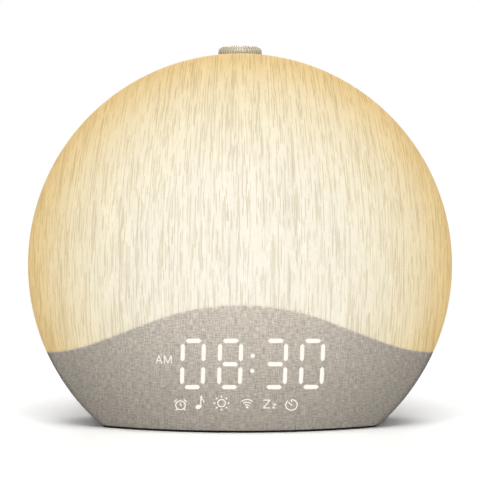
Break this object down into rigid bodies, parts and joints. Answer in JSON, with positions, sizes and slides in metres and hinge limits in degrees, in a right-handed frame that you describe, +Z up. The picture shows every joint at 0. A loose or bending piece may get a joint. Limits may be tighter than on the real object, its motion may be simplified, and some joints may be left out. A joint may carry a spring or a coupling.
{
  "type": "sunrise alarm clock",
  "caption": "Round free-standing sunrise alarm clock with a lit dome, cloth-covered base, time display, push-and-turn knob, rear keys and speaker.",
  "frame": {"origin": "on the table, under the middle of the clock's width and depth", "axes": "+X to the right seen from the front, -Y out of the lit front, +Z up"},
  "size_m": [0.18, 0.096, 0.162],
  "materials": {
    "dome_plastic": "milky, lit from behind",
    "cloth": "fine woven",
    "shell_plastic": "matt",
    "dark_plastic": "matt",
    "clear_guide": "clear",
    "lamp": "gloss",
    "circuit_board": "solder mask",
    "white_board": "white solder mask",
    "ribbon": "film",
    "reflector": "white film",
    "white_plastic": "matt",
    "socket_plastic": "matt",
    "plated_steel": "plated",
    "encoder_metal": "plated",
    "shaft_metal": "turned",
    "knob_plastic": "satin",
    "knob_face": "satin",
    "key_plastic": "satin",
    "housing_plastic": "fine matt",
    "grille_plastic": "fine matt",
    "dust_cloth": "open weave",
    "foam": "open foam",
    "cone_paper": "pressed",
    "magnet": "plain",
    "foot_rubber": "matt",
    "cell_steel": "plated",
    "screw_steel": "zinc",
    "wire": "sleeved"
  },
  "bodies": {
    "housing": {"diffuser_dome": "dome_plastic", "fabric_wrap": "cloth", "front_base_shell": "shell_plastic", "display_mask": "dark_plastic", "digit_light_guides": "clear_guide", "icon_light_guides": "clear_guide", "display_leds": "lamp", "display_board": "circuit_board", "display_ribbon": "ribbon", "reflector_sheet": "reflector", "led_board": "white_board", "led_chips": "lamp", "chassis_frame": "white_plastic", "main_board": "circuit_board", "board_chips": "dark_plastic", "board_connectors": "socket_plastic", "power_board": "circuit_board", "power_port": "plated_steel", "charge_port": "plated_steel", "encoder_board": "circuit_board", "encoder_body": "encoder_metal", "key_board": "circuit_board", "key_switches": "dark_plastic", "rear_housing": "housing_plastic", "speaker_grille": "grille_plastic", "grille_cloth": "dust_cloth", "speaker_gasket": "foam", "speaker_basket": "plated_steel", "speaker_cone": "cone_paper", "speaker_magnet": "magnet", "base_plate": "housing_plastic", "foot_ring": "foot_rubber", "cell_holder": "dark_plastic", "coin_cell": "cell_steel", "cell_contacts": "plated_steel", "housing_screws": "screw_steel", "front_screws": "screw_steel", "base_screws": "screw_steel", "board_screws": "screw_steel", "speaker_screws": "screw_steel", "speaker_lead": "wire", "led_lead": "wire", "control_leads": "wire", "power_lead": "wire"},
    "push_stem": {"encoder_plunger": "dark_plastic"},
    "knob": {"encoder_shaft": "shaft_metal", "knob_shell": "knob_plastic", "knob_cap": "knob_face"},
    "battery_door": {"battery_door": "housing_plastic"},
    "alarm_key": {"alarm_key": "key_plastic", "alarm_plunger": "dark_plastic"},
    "sound_key": {"sound_key": "key_plastic", "sound_plunger": "dark_plastic"},
    "light_key": {"light_key": "key_plastic", "light_plunger": "dark_plastic"},
    "wireless_key": {"wireless_key": "key_plastic", "wireless_plunger": "dark_plastic"},
    "timer_key": {"timer_key": "key_plastic", "timer_plunger": "dark_plastic"}
  },
  "joints": [
    {"name": "knob_press", "type": "slide", "parent": "housing", "child": "push_stem", "axis": [0, 0, -1], "range_m": [0, 0.0008], "stiffness_N_per_m": 2000, "springref_m": -0.0005},
    {"name": "knob_turn", "type": "hinge", "parent": "push_stem", "child": "knob", "pos_m": [0, 0.008, 0.155], "axis": [0, 0, 1], "continuous": true},
    {"name": "alarm_press", "type": "slide", "parent": "housing", "child": "alarm_key", "axis": [0, -1, 0], "range_m": [0, 0.0008], "stiffness_N_per_m": 800, "springref_m": -0.0005},
    {"name": "sound_press", "type": "slide", "parent": "housing", "child": "sound_key", "axis": [0, -1, 0], "range_m": [0, 0.0008], "stiffness_N_per_m": 800, "springref_m": -0.0005},
    {"name": "light_press", "type": "slide", "parent": "housing", "child": "light_key", "axis": [0, -1, 0], "range_m": [0, 0.0008], "stiffness_N_per_m": 800, "springref_m": -0.0005},
    {"name": "wireless_press", "type": "slide", "parent": "housing", "child": "wireless_key", "axis": [0, -1, 0], "range_m": [0, 0.0008], "stiffness_N_per_m": 800, "springref_m": -0.0005},
    {"name": "timer_press", "type": "slide", "parent": "housing", "child": "timer_key", "axis": [0, -1, 0], "range_m": [0, 0.0008], "stiffness_N_per_m": 800, "springref_m": -0.0005},
    {"name": "battery_door_turn", "type": "hinge", "parent": "housing", "child": "battery_door", "pos_m": [-0.029, 0.011, 0.002], "axis": [0, 0, 1], "range_deg": [0, 40]}
  ]
}
